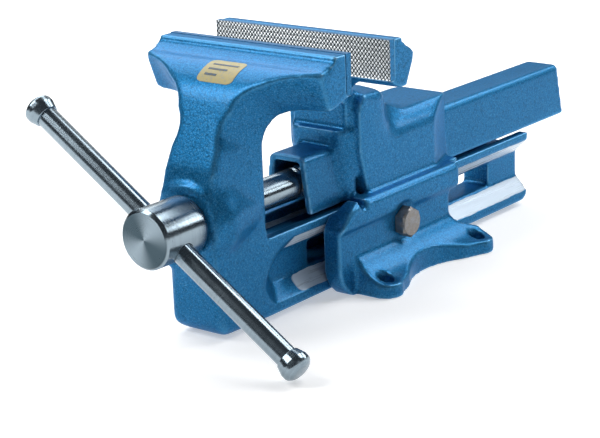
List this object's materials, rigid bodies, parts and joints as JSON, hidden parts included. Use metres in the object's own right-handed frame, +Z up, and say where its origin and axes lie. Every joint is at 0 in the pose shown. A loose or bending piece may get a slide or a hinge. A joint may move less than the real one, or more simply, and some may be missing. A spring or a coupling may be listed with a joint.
{
  "type": "bench vise",
  "caption": "Bench vise with a sliding front jaw on a grooved bar, a screw spindle with a sliding tommy bar, knurled jaw plates, a small rear anvil and a bolt-down base.",
  "frame": {"origin": "centre of the four base holes, on the underside of the base", "axes": "+X along the jaws towards the side with the gib bolt, +Y from the spindle head to the rear, +Z up"},
  "size_m": [0.182, 0.3873, 0.1485],
  "materials": {
    "blue_paint": "gloss hammered enamel on cast iron",
    "jaw_steel": "knurled",
    "turned_steel": "bright turned",
    "nut_iron": "as cast",
    "gib_steel": "ground",
    "bolt_steel": "dark oiled",
    "washer_steel": "satin"
  },
  "bodies": {
    "base": {"fixed_jaw_body": "blue_paint", "rear_jaw_plate": "jaw_steel", "rear_plate_pin_left": "turned_steel", "rear_plate_pin_right": "turned_steel", "spindle_nut": "nut_iron", "nut_dowel_front": "turned_steel", "nut_dowel_rear": "turned_steel", "guide_gib": "gib_steel"},
    "gib_screw": {"gib_bolt": "bolt_steel"},
    "moving_jaw": {"front_jaw": "blue_paint", "front_jaw_plate": "jaw_steel", "front_plate_pin_left": "turned_steel", "front_plate_pin_right": "turned_steel", "thrust_washer": "washer_steel"},
    "spindle": {"spindle_screw": "turned_steel", "spindle_head": "turned_steel", "head_pin": "turned_steel", "retaining_collar": "turned_steel", "collar_pin": "turned_steel"},
    "handle": {"handle_bar": "turned_steel", "handle_knob_upper": "turned_steel", "handle_knob_lower": "turned_steel"}
  },
  "joints": [
    {"name": "jaw_slide", "type": "slide", "parent": "base", "child": "moving_jaw", "axis": [0, 1, 0], "range_m": [-0.115, 0.0343]},
    {"name": "spindle_spin", "type": "hinge", "parent": "moving_jaw", "child": "spindle", "pos_m": [0, -0.1795, 0.064], "axis": [0, 1, 0], "range_deg": [-10400, 3120]},
    {"name": "handle_slide", "type": "slide", "parent": "spindle", "child": "handle", "axis": [0.8358, 0, -0.549], "range_m": [-0.077, 0.077]},
    {"name": "gib_bolt_turn", "type": "hinge", "parent": "base", "child": "gib_screw", "pos_m": [0.034, -0.01, 0.031], "axis": [1, 0, 0], "range_deg": [-60, 60]}
  ],
  "couplings": [
    {"joint": "spindle_spin", "follows": "jaw_slide", "rad_per_m": 1570.8}
  ]
}
